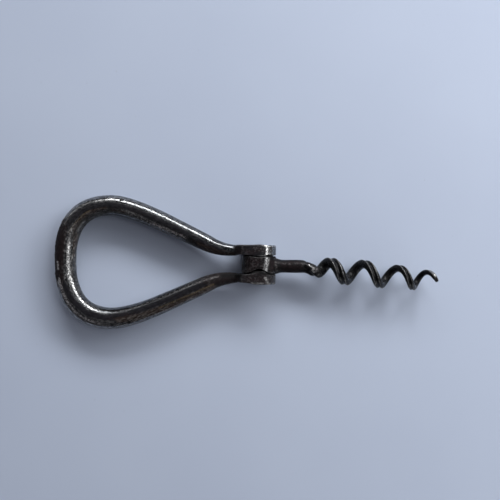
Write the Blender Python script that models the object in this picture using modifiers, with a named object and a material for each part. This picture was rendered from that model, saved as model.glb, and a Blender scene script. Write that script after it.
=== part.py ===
"""Folding corkscrew with a forged steel bow.

Three pieces, as on the real tool: a teardrop bow whose two ends are forged into lugs, a worm whose
square-shouldered block sits between the lugs, and the rivet that both turn on. The worm swings on
the rivet, out of the bow for use and through it to be put away.

Metres, +Z up. +X runs from the bow to the worm's point and +Y is across the bow, along the rivet.
The origin is on the table that the open corkscrew lies on, straight under the middle of the rivet.
"""

import math

import bmesh
import bpy
from mathutils import Vector

# Hinge. A reach is a distance along X from the rivet's axis.
LUG_HEIGHT = 0.0092
LUG_THICKNESS = 0.00335
LUG_REACH = 0.0057
LUG_SHOULDER_REACH = 0.0054
LUG_TAIL_LENGTH = 0.0023
LUG_EDGE_ROUND = 0.00045
BLOCK_WIDTH = 0.0057
BLOCK_REACH = 0.0057
BLOCK_EDGE_ROUND = 0.0002
SIDE_CLEARANCE = 0.0003
BOSS_RADIUS = 0.0051
BOSS_HEIGHT = 0.0008

# Rivet, peened into a shallow countersink in each lug
RIVET_DIAMETER = 0.0032
RIVET_HEAD_DIAMETER = 0.0046
RIVET_SINK_DEPTH = 0.0005
RIVET_DOME_HEIGHT = 0.00035
RIVET_SEAT_GAP = 0.0002
PIVOT_CLEARANCE = 0.00025

# Bow, along the middle of its round bar, which narrows from the crown to the necks at the lugs
CROWN_REACH = 0.0647
CROWN_DEPTH = 0.0152
BOW_HALF_WIDTH = 0.0190
NECK_CORNER_REACH = 0.0125
NECK_BEND = 0.0041
NECK_CLEARANCE = 0.0003
CROWN_BAR = 0.0070
SHOULDER_BAR = 0.0069
ARM_BAR = 0.0063
BEND_BAR = 0.0054
NECK_BAR = 0.0037

# Worm: a straight shank, then a right-handed helix whose axis leans a little off the shank's
SHANK_DIAMETER = 0.0043
SHANK_OFFSET = 0.0003
SHANK_END_REACH = 0.0158
SHANK_END_ROUND = 0.0005
COLLAR_LENGTH = 0.0014
COLLAR_INSET = 0.0002
ROOT_STEP = 0.0001
ROOT_DEPTH = 0.0008
LEAN_DEPTH = 0.0040
WIRE_DIAMETER = 0.0040
WORM_DIAMETER = 0.0102
PITCH = 0.0112

OVERRUN = 0.001
WELD_DISTANCE = 0.000005

# Shares and angles that give the forms above their shape
CROWN_HANDLE_SHARE = 0.59
SHOULDER_HANDLE_SHARE = 0.72
SHOULDER_RUN_SHARE = 0.15
ARM_PLACE_SHARE = 0.42
ARM_HANDLE_SHARE = 0.15
BEND_HANDLE_SHARE = 0.60
TAIL_SHARE = 0.9
ARM_ANGLE = math.radians(24.8)
WORM_LEAN = math.radians(5.2)
ROOT_PHASE = math.radians(90)
WORM_TURNS = 4
# (turn, share) pairs along the worm, counted from its root
COIL_SHARES = ((0, 0), (0.25, 0.38), (0.75, 0.8), (1.25, 1), (2.25, 1.02), (3.25, 0.92), (4, 0.84))
WIRE_SHARES = (
    (0, 0.98),
    (0.25, 0.96),
    (0.75, 0.94),
    (1.25, 0.86),
    (2.25, 0.71),
    (3.25, 0.57),
    (3.75, 0.44),
    (4, 0.18),
)
PITCH_SHARES = ((0, 2), (0.25, 1), (0.5, 0.72), (0.75, 0.92), (1.25, 1.04), (2.75, 1), (3.5, 0.78), (4, 1))
GROOVE_DEPTH_SHARES = ((0.05, 0), (0.5, 0.30), (3.1, 0.30), (3.8, 0))
GROOVE_HALF_ANGLE = math.radians(36)
SHARP_EDGE_ANGLE = math.radians(32)

# Facets
BAR_SIDE_STEPS = 9
BAR_LENGTH_STEPS = 11
ROUND_END_STEPS = 14
SHOULDER_STEPS = 5
TURNED_STEPS = 40
DOME_STEPS = 4
RINGS_PER_TURN = 26
GROOVE_STEPS = 3
BACK_STEPS = 6

# What follows from the sizes above. LUG_INNER, LUG_OUTER and NECK_MIDDLE are distances along Y.
PIVOT_HEIGHT = LUG_HEIGHT / 2
PIVOT = Vector((0, 0, PIVOT_HEIGHT))
LUG_INNER = BLOCK_WIDTH / 2 + SIDE_CLEARANCE
LUG_OUTER = LUG_INNER + LUG_THICKNESS
LUG_TAIL_REACH = BLOCK_REACH + LUG_TAIL_LENGTH
BAR_END_REACH = BLOCK_REACH + COLLAR_LENGTH
SHANK_END_RADIUS = WIRE_DIAMETER / 2 + ROOT_STEP
SHANK_RADIUS = max(SHANK_DIAMETER / 2, SHANK_END_RADIUS)
NECK_MIDDLE = SHANK_OFFSET + SHANK_RADIUS + NECK_CLEARANCE + NECK_BAR / 2
WIDEST_REACH = CROWN_REACH - CROWN_DEPTH
COIL_RADIUS = (WORM_DIAMETER - WIRE_DIAMETER) / 2

ALONG_Y = (-math.pi / 2, 0, 0)
ALONG_X = (0, math.pi / 2, 0)

# Colour and roughness of each piece's steel
BOW_STEEL = ((0.25, 0.235, 0.225, 1), 0.38)
WORM_STEEL = ((0.15, 0.145, 0.14, 1), 0.45)
RIVET_STEEL = ((0.22, 0.20, 0.19, 1), 0.42)


def clear_scene():
    for obj in list(bpy.data.objects):
        bpy.data.objects.remove(obj)


def new_collection(name):
    collection = bpy.data.collections.new(name)
    bpy.context.scene.collection.children.link(collection)
    return collection


def steel(name, colour, roughness):
    material = bpy.data.materials.new(name)
    material.use_nodes = True
    shader = material.node_tree.nodes["Principled BSDF"]
    shader.inputs["Base Color"].default_value = colour
    shader.inputs["Metallic"].default_value = 1
    shader.inputs["Roughness"].default_value = roughness
    return material


def add_object(name, data, collection):
    obj = bpy.data.objects.new(name, data)
    collection.objects.link(obj)
    return obj


def finish_part(obj, material):
    obj.data.materials.clear()
    obj.data.materials.append(material)
    obj.data.shade_smooth()
    obj.data.set_sharp_from_angle(angle=SHARP_EDGE_ANGLE)


def mesh_object(name, build, collection):
    """An object whose mesh is what build makes in a bmesh."""
    form = bmesh.new()
    build(form)
    bmesh.ops.recalc_face_normals(form, faces=form.faces)
    mesh = bpy.data.meshes.new(name)
    form.to_mesh(mesh)
    form.free()
    return add_object(name, mesh, collection)


def as_mesh(curve_obj, collection):
    """The curve's own shape as a mesh with its caps welded, in the curve's place."""
    bpy.context.view_layer.update()
    name = curve_obj.name
    graph = bpy.context.evaluated_depsgraph_get()
    mesh = bpy.data.meshes.new_from_object(curve_obj.evaluated_get(graph))
    form = bmesh.new()
    form.from_mesh(mesh)
    bmesh.ops.remove_doubles(form, verts=form.verts, dist=WELD_DISTANCE)
    form.to_mesh(mesh)
    form.free()
    place = curve_obj.matrix_world.copy()
    bpy.data.objects.remove(curve_obj)
    obj = add_object(name, mesh, collection)
    obj.matrix_world = place
    return obj


def extruded(name, outline, low_y, high_y, collection):
    """A flat outline of (x, z) points about the pivot, extruded from low_y to high_y."""
    curve = bpy.data.curves.new(name, "CURVE")
    curve.dimensions = "2D"
    curve.fill_mode = "BOTH"
    curve.extrude = (high_y - low_y) / 2
    spline = curve.splines.new("POLY")
    spline.points.add(len(outline) - 1)
    for point, (x, z) in zip(spline.points, outline):
        point.co = (x, z, 0, 1)
    spline.use_cyclic_u = True
    obj = add_object(name, curve, collection)
    obj.rotation_euler = (math.pi / 2, 0, 0)
    obj.location = PIVOT + Vector((0, (low_y + high_y) / 2, 0))
    return as_mesh(obj, collection)


def turned(name, profile, collection, direction=ALONG_Y, middle=PIVOT):
    """A profile of (radius, height) points, listed from the high end down, turned about an axis."""
    mesh = bpy.data.meshes.new(name)
    edges = [(i, i + 1) for i in range(len(profile) - 1)]
    mesh.from_pydata([(radius, 0, height) for radius, height in profile], edges, [])
    obj = add_object(name, mesh, collection)
    obj.rotation_euler = direction
    obj.location = middle
    screw = obj.modifiers.new("turn", "SCREW")
    screw.axis = "Z"
    screw.steps = TURNED_STEPS
    screw.render_steps = TURNED_STEPS
    screw.use_merge_vertices = True
    screw.merge_threshold = WELD_DISTANCE
    return obj


def round_edges(obj, width):
    bevel = obj.modifiers.new("edges", "BEVEL")
    bevel.width = width
    bevel.segments = 2
    bevel.limit_method = "ANGLE"
    bevel.angle_limit = SHARP_EDGE_ANGLE


def combine(obj, other, operation):
    boolean = obj.modifiers.new(operation.lower(), "BOOLEAN")
    boolean.operation = operation
    boolean.solver = "EXACT"
    boolean.object = other
    other.hide_render = True
    other.display_type = "WIRE"


def arc(centre_x, radius, start, end, steps):
    """(x, z) points on an arc about the pivot's height, from one angle to another, both included."""
    angles = [start + (end - start) * i / steps for i in range(steps + 1)]
    return [(centre_x + radius * math.cos(a), radius * math.sin(a)) for a in angles]


def smooth_share(turn, table):
    """The share at a turn, on a Catmull-Rom curve through the table's (turn, share) pairs."""
    if turn <= table[0][0]:
        return table[0][1]
    if turn >= table[-1][0]:
        return table[-1][1]
    i = next(n for n in range(len(table) - 1) if table[n + 1][0] > turn)
    (x1, y1), (x2, y2) = table[i], table[i + 1]
    x0, y0 = table[max(i - 1, 0)]
    x3, y3 = table[min(i + 2, len(table) - 1)]
    slope1 = (y2 - y0) / (x2 - x0)
    slope2 = (y3 - y1) / (x3 - x1)
    t = (turn - x1) / (x2 - x1)
    rise = (x2 - x1) * (slope1 * t * (1 - t) ** 2 - slope2 * t * t * (1 - t))
    return y1 + (y2 - y1) * t * t * (3 - 2 * t) + rise


def rivet_profile(gap):
    """The rivet's half outline, or with a gap the hole that it sits in, from high y to low y."""
    shaft = RIVET_DIAMETER / 2 + gap
    head = RIVET_HEAD_DIAMETER / 2 + gap
    sink_end = LUG_OUTER - RIVET_SINK_DEPTH - gap
    if gap:
        top = [(0, LUG_OUTER + OVERRUN), (head, LUG_OUTER + OVERRUN)]
    else:
        turns = [math.pi / 2 * i / DOME_STEPS for i in range(DOME_STEPS)]
        top = [(head * math.sin(a), LUG_OUTER + RIVET_DOME_HEIGHT * math.cos(a)) for a in turns]
    upper = top + [(head, LUG_OUTER), (shaft, sink_end)]
    return upper + [(radius, -y) for radius, y in reversed(upper)]


def lug_outline():
    """One round end, flat top and bottom, and a shoulder that eases down to the neck of the bar."""
    half = LUG_HEIGHT / 2
    tail_half = NECK_BAR / 2 * TAIL_SHARE
    top = []
    for i in range(SHOULDER_STEPS + 1):
        t = i / SHOULDER_STEPS
        ease = t * t * (3 - 2 * t)
        x = -LUG_SHOULDER_REACH - (LUG_TAIL_REACH - LUG_SHOULDER_REACH) * t
        top.append((x, half + (tail_half - half) * ease))
    bottom = [(x, -z) for x, z in reversed(top)]
    return arc(LUG_REACH - half, half, -math.pi / 2, math.pi / 2, ROUND_END_STEPS) + top + bottom


def block_outline():
    half = LUG_HEIGHT / 2
    side = BLOCK_REACH - half
    front = arc(side, half, -math.pi / 2, math.pi / 2, ROUND_END_STEPS)
    back = arc(-side, half, math.pi / 2, math.pi * 3 / 2, ROUND_END_STEPS)
    return front + back


def loop_point(x, y):
    """A point of the loop, which slopes down from the necks so that its crown lies on the table too."""
    crown_drop = (LUG_HEIGHT - CROWN_BAR) / 2
    share = max(0, (-x - NECK_CORNER_REACH) / (CROWN_REACH - NECK_CORNER_REACH))
    return Vector((x, y, PIVOT_HEIGHT - crown_drop * share))


def half_stations():
    """Half the bow, from crown to lug: each point's place, crown-side handle, lug-side handle and bar."""
    neck_end = Vector((NECK_BEND - NECK_CORNER_REACH, NECK_MIDDLE))
    corner = Vector((-NECK_CORNER_REACH, NECK_MIDDLE))
    widest = Vector((-WIDEST_REACH, BOW_HALF_WIDTH))
    arm = Vector((-math.cos(ARM_ANGLE), math.sin(ARM_ANGLE)))
    bend = corner + arm * NECK_BEND
    run = (widest.x - bend.x) / arm.x
    crown_width = BOW_HALF_WIDTH * CROWN_HANDLE_SHARE
    arm_handle = run * ARM_HANDLE_SHARE
    bend_handle = NECK_BEND * BEND_HANDLE_SHARE
    lug_handle = -(neck_end.x + BAR_END_REACH) / 2
    back = Vector((-1, 0))
    rows = [
        (Vector((-CROWN_REACH, 0)), Vector((0, -1)), crown_width, crown_width, CROWN_BAR),
        (widest, back, CROWN_DEPTH * SHOULDER_HANDLE_SHARE, run * SHOULDER_RUN_SHARE, SHOULDER_BAR),
        (bend + arm * run * ARM_PLACE_SHARE, arm, arm_handle, arm_handle, ARM_BAR),
        (bend, arm, bend_handle, bend_handle, BEND_BAR),
        (neck_end, back, bend_handle, lug_handle, NECK_BAR),
        (Vector((-BAR_END_REACH, NECK_MIDDLE)), back, lug_handle, lug_handle, NECK_BAR),
    ]
    return [(at, at + way * to_crown, at - way * to_lug, bar) for at, way, to_crown, to_lug, bar in rows]


def across_the_bow(station):
    """The same point of the other half, whose handles swap because that half runs the other way."""
    at, crown_handle, lug_handle, bar = station
    other_side = [Vector((point.x, -point.y)) for point in (at, lug_handle, crown_handle)]
    return (*other_side, bar)


def bow_stations():
    """The whole bow from one lug to the other: each point's place, handle before, handle after and bar."""
    half = half_stations()
    other_half = [across_the_bow(station) for station in half[1:]]
    return other_half[::-1] + half


def make_bar(collection):
    """The bow's tapered bar, from its end inside one lug round the crown to its end in the other."""
    curve = bpy.data.curves.new("bow", "CURVE")
    curve.dimensions = "3D"
    curve.twist_mode = "Z_UP"
    curve.bevel_depth = CROWN_BAR / 2
    curve.bevel_resolution = BAR_SIDE_STEPS
    curve.resolution_u = BAR_LENGTH_STEPS
    curve.use_fill_caps = True
    stations = bow_stations()
    spline = curve.splines.new("BEZIER")
    spline.radius_interpolation = "CARDINAL"
    spline.bezier_points.add(len(stations) - 1)
    for point, (at, before, after, bar) in zip(spline.bezier_points, stations):
        point.handle_left_type = "FREE"
        point.handle_right_type = "FREE"
        point.co = loop_point(*at)
        point.handle_left = loop_point(*before)
        point.handle_right = loop_point(*after)
        point.radius = bar / CROWN_BAR
    return as_mesh(add_object("bow", curve, collection), collection)


def make_lugs(cutters):
    """Both lugs, each with a cone-edged boss round the rivet on its inner face."""
    boss_face = LUG_INNER - BOSS_HEIGHT
    low = boss_face - LUG_EDGE_ROUND - OVERRUN
    lugs = extruded("lugs", lug_outline(), low, LUG_OUTER, cutters)
    round_edges(lugs, LUG_EDGE_ROUND)
    form_radius = LUG_TAIL_REACH + LUG_HEIGHT
    profile = [
        (0, LUG_OUTER + OVERRUN),
        (form_radius, LUG_OUTER + OVERRUN),
        (form_radius, LUG_INNER),
        (BOSS_RADIUS, LUG_INNER),
        (BOSS_RADIUS - BOSS_HEIGHT, boss_face),
        (0, boss_face),
    ]
    combine(lugs, turned("lug_form", profile, cutters), "INTERSECT")
    mirror = lugs.modifiers.new("both_sides", "MIRROR")
    mirror.mirror_object = bpy.data.objects["lug_form"]
    mirror.use_axis = (False, False, True)
    mirror.merge_threshold = WELD_DISTANCE
    return lugs


def make_bow(parts, cutters):
    bow = make_bar(parts)
    combine(bow, make_lugs(cutters), "UNION")
    combine(bow, turned("rivet_hole", rivet_profile(RIVET_SEAT_GAP), cutters), "DIFFERENCE")
    return bow


def ring(middle, out, across, radius, groove):
    """Points round the wire, with a groove of that share of the radius on the side that faces out."""
    turns = [GROOVE_HALF_ANGLE * i / GROOVE_STEPS for i in range(GROOVE_STEPS)]
    rest = math.pi - GROOVE_HALF_ANGLE
    turns += [GROOVE_HALF_ANGLE + rest * i / BACK_STEPS for i in range(BACK_STEPS + 1)]
    turns += [-a for a in reversed(turns[1:-1])]
    points = []
    for a in turns:
        dip = math.cos(math.pi / 2 * min(1, abs(a) / GROOVE_HALF_ANGLE)) ** 2
        reach = radius * (1 - groove * dip)
        points.append(middle + out * reach * math.cos(a) + across * reach * math.sin(a))
    return points


def worm_rings():
    """The grooved, tapering wire of the worm, one ring of points after another to the tip."""
    ahead = Vector((math.cos(WORM_LEAN), -math.sin(WORM_LEAN), 0))
    side = Vector((math.sin(WORM_LEAN), math.cos(WORM_LEAN), 0))
    up = Vector((0, 0, 1))
    lean_point = PIVOT + Vector((SHANK_END_REACH - LEAN_DEPTH, -SHANK_OFFSET, 0))
    count = round(WORM_TURNS * RINGS_PER_TURN)
    step = WORM_TURNS / count
    advance = LEAN_DEPTH - ROOT_DEPTH
    middles, outs, rings = [], [], []
    for i in range(count + 1):
        turn = i * step
        phase = ROOT_PHASE + 2 * math.pi * turn
        out = side * math.cos(phase) + up * math.sin(phase)
        coil = COIL_RADIUS * smooth_share(turn, COIL_SHARES)
        middles.append(lean_point + ahead * advance + out * coil)
        outs.append(out)
        advance += PITCH * smooth_share(turn + step / 2, PITCH_SHARES) * step
    for i, (middle, out) in enumerate(zip(middles, outs)):
        before = middles[max(i - 1, 0)]
        after = middles[min(i + 1, count)]
        forward = (after - before).normalized()
        square_out = (out - forward * out.dot(forward)).normalized()
        across = forward.cross(square_out)
        radius = WIRE_DIAMETER / 2 * smooth_share(i * step, WIRE_SHARES)
        groove = smooth_share(i * step, GROOVE_DEPTH_SHARES)
        rings.append(ring(middle, square_out, across, radius, groove))
    return rings


def loft(form, rings):
    """Skins the rings one to the next and closes both ends. The section changes, so nothing is swept."""
    rows = [[form.verts.new(point) for point in points] for points in rings]
    for row, after in zip(rows, rows[1:]):
        for i in range(len(row)):
            j = (i + 1) % len(row)
            form.faces.new((row[i], row[j], after[j], after[i]))
    form.faces.new(list(reversed(rows[0])))
    form.faces.new(rows[-1])


def make_shank(collection):
    """The straight shank from inside the block to its end, with the cone that the block draws down to."""
    collar = BLOCK_WIDTH / 2 - SHANK_OFFSET - COLLAR_INSET
    start = BLOCK_REACH / 2
    profile = [
        (0, SHANK_END_REACH),
        (SHANK_END_RADIUS - SHANK_END_ROUND, SHANK_END_REACH),
        (SHANK_END_RADIUS, SHANK_END_REACH - SHANK_END_ROUND),
        (SHANK_DIAMETER / 2, BLOCK_REACH + COLLAR_LENGTH),
        (collar, BLOCK_REACH),
        (collar, start),
        (0, start),
    ]
    return turned("shank", profile, collection, ALONG_X, PIVOT - Vector((0, SHANK_OFFSET, 0)))


def make_worm(parts, cutters):
    half = BLOCK_WIDTH / 2
    worm = extruded("worm", block_outline(), -half, half, parts)
    round_edges(worm, BLOCK_EDGE_ROUND)
    combine(worm, make_shank(cutters), "UNION")
    wire = mesh_object("wire", lambda form: loft(form, worm_rings()), cutters)
    combine(worm, wire, "UNION")
    floor = half - BOSS_HEIGHT
    dish = [
        (0, half + OVERRUN),
        (BOSS_RADIUS + OVERRUN, half + OVERRUN),
        (BOSS_RADIUS, half),
        (BOSS_RADIUS - BOSS_HEIGHT, floor),
        (0, floor),
    ]
    combine(worm, turned("dish", dish, cutters), "DIFFERENCE")
    far_dish = [(radius, -y) for radius, y in reversed(dish)]
    combine(worm, turned("far_dish", far_dish, cutters), "DIFFERENCE")
    bore = RIVET_DIAMETER / 2 + PIVOT_CLEARANCE
    eye = [(0, LUG_OUTER), (bore, LUG_OUTER), (bore, -LUG_OUTER), (0, -LUG_OUTER)]
    combine(worm, turned("eye", eye, cutters), "DIFFERENCE")
    return worm


def main():
    clear_scene()
    parts = new_collection("folding_corkscrew")
    cutters = new_collection("cutters")
    finish_part(make_bow(parts, cutters), steel("bow_steel", *BOW_STEEL))
    finish_part(make_worm(parts, cutters), steel("worm_steel", *WORM_STEEL))
    rivet = turned("hinge_rivet", rivet_profile(0), parts)
    finish_part(rivet, steel("rivet_steel", *RIVET_STEEL))


main()
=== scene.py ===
"""Looks of the folding corkscrew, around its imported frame.

Each of the three CAD nodes is stood for by one fine mesh, built by formula at the node's own sizes and
then worn: forging marks, dents, pits, soft edges. Lengths in this script are millimetres until a mesh
is made, which is in metres in the frame.
"""

import math
from types import SimpleNamespace

import bmesh
import bpy
import numpy as np
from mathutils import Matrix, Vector, kdtree, noise


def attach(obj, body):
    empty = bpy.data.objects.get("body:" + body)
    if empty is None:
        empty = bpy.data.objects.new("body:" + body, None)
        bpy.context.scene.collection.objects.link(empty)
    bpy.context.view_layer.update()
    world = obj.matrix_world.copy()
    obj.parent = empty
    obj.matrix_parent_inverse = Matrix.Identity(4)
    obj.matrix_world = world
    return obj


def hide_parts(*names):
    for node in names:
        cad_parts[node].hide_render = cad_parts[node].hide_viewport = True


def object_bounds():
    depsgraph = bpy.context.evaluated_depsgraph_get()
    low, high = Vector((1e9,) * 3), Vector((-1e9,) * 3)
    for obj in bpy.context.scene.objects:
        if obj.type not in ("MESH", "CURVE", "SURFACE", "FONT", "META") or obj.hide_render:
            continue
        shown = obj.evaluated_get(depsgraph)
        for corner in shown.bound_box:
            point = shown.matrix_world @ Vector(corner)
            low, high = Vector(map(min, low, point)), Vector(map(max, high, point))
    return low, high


MM = 0.001
UP = np.array((0.0, 0.0, 1.0))

# Hinge, as in the part's source. A reach is a distance along X from the rivet's axis.
LUG_HALF_HEIGHT = 4.6
LUG_THICKNESS = 3.35
LUG_REACH = 5.7
LUG_SHOULDER_REACH = 5.4
LUG_TAIL_REACH = 8.0
LUG_FILLET = 0.5
LUG_INNER_FILLET = 0.14
BLOCK_HALF_WIDTH = 2.85
BLOCK_REACH = 5.7
BLOCK_FILLET = 0.14
SIDE_CLEARANCE = 0.3
RIVET_RADIUS = 1.6
RIVET_HEAD_RADIUS = 2.3
RIVET_SINK_DEPTH = 0.5
RIVET_DOME = 0.2
RIVET_SEAM = 0.04
PIVOT_CLEARANCE = 0.25
# Each side's boss: its base radius, its slope and its height, on the lug and as cut in the block
BOSSES = {1: (5.05, 0.8, 0.42), -1: (5.15, 1.6, 1.1)}
DISHES = {1: (5.1, 0.75, 0.5), -1: (5.25, 2.3, 1.75)}

# Bow, along the middle of its bar, and the bar's diameters from the crown to the necks
CROWN_X = -64.7
CROWN_DEPTH = 15.2
CROWN_DROP = 1.1
BOW_HALF_WIDTH = 19.0
NECK_Y = 4.6
NECK_CORNER = -12.5
NECK_BEND = 4.1
BAR_END = -7.1
ARM_ANGLE = math.radians(24.8)
CROWN_BAR = 7.0
SHOULDER_BAR = 6.9
ARM_BAR = 6.3
BEND_BAR = 5.4
NECK_BAR = 3.7
CROWN_HANDLE_SHARE = 0.59
SHOULDER_HANDLE_SHARE = 0.72
SHOULDER_RUN_SHARE = 0.15
ARM_PLACE_SHARE = 0.42
ARM_HANDLE_SHARE = 0.15
BEND_HANDLE_SHARE = 0.6
TAIL_SHARE = 0.9
# Where the hammered crown leaves that line: the angle round its middle, half the stretch of the push in
# degrees, and how far the inside and the outside are pushed outwards
CROWN_MIDDLE = (-48.4, 0.1)
CROWN_PUSHES = ((146, 46, 0.2, 0.52), (250, 60, -0.42, 0.0))

# Worm
SHANK_Y = -0.42
SHANK_END = 15.8
# (x, radius) pairs along the shank, which is drawn down from the block in a cone
SHANK_PROFILE = (
    (2.9, 2.7), (5.4, 2.75), (6.0, 2.62), (6.8, 2.34), (7.6, 2.18), (9, 2.14), (12.5, 2.2),
    (14.6, 2.16), (15.4, 1.98), (SHANK_END, 1.55), (SHANK_END + 0.15, 1.0),
)
WORM_LEAN = math.radians(5.2)
WORM_START = (11.8, -0.3, 0)
WORM_ROOT_ADVANCE = 3.2
WORM_TURNS = 4
PITCH = 11.2
COIL_RADIUS = 3.1
WIRE_RADIUS = 2.0
# (turn, share) pairs along the worm, counted from its root
COIL_SHARES = ((0, 0), (0.25, 0.38), (0.75, 0.8), (1.25, 1), (2.25, 1.02), (3.25, 0.92), (4, 0.84))
WIRE_SHARES = (
    (0, 0.98), (0.25, 0.96), (0.75, 0.94), (1.25, 0.86), (2.25, 0.71),
    (3.25, 0.57), (3.75, 0.46), (3.92, 0.4), (4, 0.26),
)
PITCH_SHARES = ((0, 2), (0.25, 1), (0.5, 0.72), (0.75, 0.92), (1.25, 1.04), (2.75, 1), (3.5, 0.78), (4, 1))
GROOVE_SHARES = ((0.04, 0), (0.15, 0.28), (0.5, 0.36), (3.1, 0.34), (3.85, 0))
GROOVE_HALF_ANGLE = math.radians(36)
GROOVE_SHARPNESS = 1.4
GROOVE_CROWDING = 0.45

# Facets
CURVE_STEPS = 80
BAR_STEP = 0.34
BAR_SIDES = 84
OUTLINE_STEPS = 90
TAIL_STEPS = 40
LUG_SIDES = 210
LUG_FACE_STEPS = 17
LUG_FILLET_STEPS = 6
LUG_INNER_STEPS = 30
HOLE_STEPS = 8
BLOCK_SIDES = 190
BLOCK_FACE_STEPS = 26
BLOCK_WALL_STEPS = 24
SHANK_RINGS = 70
SHANK_SIDES = 76
WIRE_RINGS_PER_TURN = 150
WIRE_SIDES = 64
RIVET_SIDES = 72
DOME_STEPS = 22

# What follows from the sizes above
PIVOT = np.array((0.0, 0.0, LUG_HALF_HEIGHT))
LUG_INNER = BLOCK_HALF_WIDTH + SIDE_CLEARANCE
LUG_OUTER = LUG_INNER + LUG_THICKNESS
LUG_TAIL_HALF = NECK_BAR / 2 * TAIL_SHARE
EYE_RADIUS = RIVET_RADIUS + PIVOT_CLEARANCE
WIDEST = np.array((CROWN_X + CROWN_DEPTH, BOW_HALF_WIDTH))

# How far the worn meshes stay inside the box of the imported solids
LOW_MARGIN = (0.01, 0.01, 0.002)
HIGH_MARGIN = (0.0074, 0.01, 0.004)

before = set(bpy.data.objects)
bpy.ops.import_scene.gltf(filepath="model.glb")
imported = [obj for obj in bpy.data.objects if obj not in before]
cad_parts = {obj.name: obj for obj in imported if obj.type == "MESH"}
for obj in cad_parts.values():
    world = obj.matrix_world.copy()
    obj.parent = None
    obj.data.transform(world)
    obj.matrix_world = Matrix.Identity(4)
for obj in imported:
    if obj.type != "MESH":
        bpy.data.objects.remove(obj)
cad_low, cad_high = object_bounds()


# Shapes


def smooth_share(turn, table):
    """The share at a turn, on a Catmull-Rom curve through the table's (turn, share) pairs."""
    if turn <= table[0][0]:
        return table[0][1]
    if turn >= table[-1][0]:
        return table[-1][1]
    i = next(n for n in range(len(table) - 1) if table[n + 1][0] > turn)
    (x1, y1), (x2, y2) = table[i], table[i + 1]
    x0, y0 = table[max(i - 1, 0)]
    x3, y3 = table[min(i + 2, len(table) - 1)]
    slope1 = (y2 - y0) / (x2 - x0)
    slope2 = (y3 - y1) / (x3 - x1)
    t = (turn - x1) / (x2 - x1)
    rise = (x2 - x1) * (slope1 * t * (1 - t) ** 2 - slope2 * t * t * (1 - t))
    return y1 + (y2 - y1) * t * t * (3 - 2 * t) + rise


def unit(vectors):
    return vectors / np.linalg.norm(vectors, axis=-1, keepdims=True)


def length_along(line):
    """Distance along a line at each of its points."""
    return np.concatenate([[0], np.cumsum(np.linalg.norm(np.diff(line, axis=0), axis=1))])


def grid_mesh(name, rows, wrap_rows=False, caps=False):
    """An object skinned over rows of points, each row a closed ring. Rows wrap round, or get end caps."""
    rows = np.asarray(rows)
    count, sides = rows.shape[:2]
    points = rows.reshape(-1, 3)
    last = count if wrap_rows else count - 1
    i = np.arange(last)[:, None]
    j = np.arange(sides)[None, :]
    here, after = i * sides, ((i + 1) % count) * sides
    across = (j + 1) % sides
    faces = np.stack([here + j, here + across, after + across, after + j], -1).reshape(-1, 4).tolist()
    if caps:
        points = np.vstack([points, rows[0].mean(0), rows[-1].mean(0)])
        first, end = len(points) - 2, len(points) - 1
        base = (count - 1) * sides
        for k in range(sides):
            n = (k + 1) % sides
            faces.append((first, n, k))
            faces.append((end, base + k, base + n))
    mesh = bpy.data.meshes.new(name)
    mesh.from_pydata((points * MM).tolist(), [], faces)
    obj = bpy.data.objects.new(name, mesh)
    bpy.context.scene.collection.objects.link(obj)
    return obj


def outward(obj):
    """Turns every face of a closed mesh outward."""
    form = bmesh.new()
    form.from_mesh(obj.data)
    bmesh.ops.recalc_face_normals(form, faces=form.faces)
    form.to_mesh(obj.data)
    form.free()
    return obj


def united(name, pieces):
    """One object from several closed ones."""
    obj = pieces[0]
    for other in pieces[1:]:
        union = obj.modifiers.new("union", "BOOLEAN")
        union.operation = "UNION"
        union.solver = "EXACT"
        union.object = other
    graph = bpy.context.evaluated_depsgraph_get()
    mesh = bpy.data.meshes.new_from_object(obj.evaluated_get(graph))
    for piece in pieces:
        old = piece.data
        bpy.data.objects.remove(piece)
        bpy.data.meshes.remove(old)
    mesh.name = name
    made = bpy.data.objects.new(name, mesh)
    bpy.context.scene.collection.objects.link(made)
    return made


def read_points(obj):
    """The mesh's points in millimetres."""
    points = np.zeros(len(obj.data.vertices) * 3, np.float32)
    obj.data.vertices.foreach_get("co", points)
    return points.reshape(-1, 3).astype(float) / MM


def write_points(obj, points):
    obj.data.vertices.foreach_set("co", (points * MM).astype(np.float32).ravel())
    obj.data.update()


def normals_of(obj):
    normals = np.zeros(len(obj.data.vertices) * 3, np.float32)
    obj.data.vertex_normals.foreach_get("vector", normals)
    return normals.reshape(-1, 3).astype(float)


def edges_of(obj):
    pairs = np.zeros(len(obj.data.edges) * 2, np.int64)
    obj.data.edges.foreach_get("vertices", pairs)
    return pairs.reshape(-1, 2)


def neighbour_mean(values, pairs):
    total = np.zeros_like(values)
    count = np.zeros(len(values))
    np.add.at(total, pairs[:, 0], values[pairs[:, 1]])
    np.add.at(total, pairs[:, 1], values[pairs[:, 0]])
    np.add.at(count, pairs[:, 0], 1)
    np.add.at(count, pairs[:, 1], 1)
    return total / np.maximum(count, 1)[:, None]


def melt(obj, centre, reach, rounds):
    """Softens the mesh round a point, most at the point, so that two united forms flow together."""
    points = read_points(obj)
    pairs = edges_of(obj)
    rim, fade_out = 1.15, 0.3
    away = np.linalg.norm((points - centre) / reach, axis=1)
    near = away < rim
    pairs = pairs[near[pairs[:, 0]] | near[pairs[:, 1]]]
    weight = np.clip(rim - away, 0, fade_out)[:, None] / fade_out * 0.5
    for _ in range(rounds):
        mean = neighbour_mean(points, pairs)
        points = points + (mean - points) * weight
    write_points(obj, points)


def eased(t):
    """0 to 1 with a soft start and end."""
    return t * t * (3 - 2 * t)


def fade(values, low, high):
    """0 up to low, 1 from high on, and straight between them."""
    return np.clip((values - low) / (high - low), 0, 1)


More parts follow.
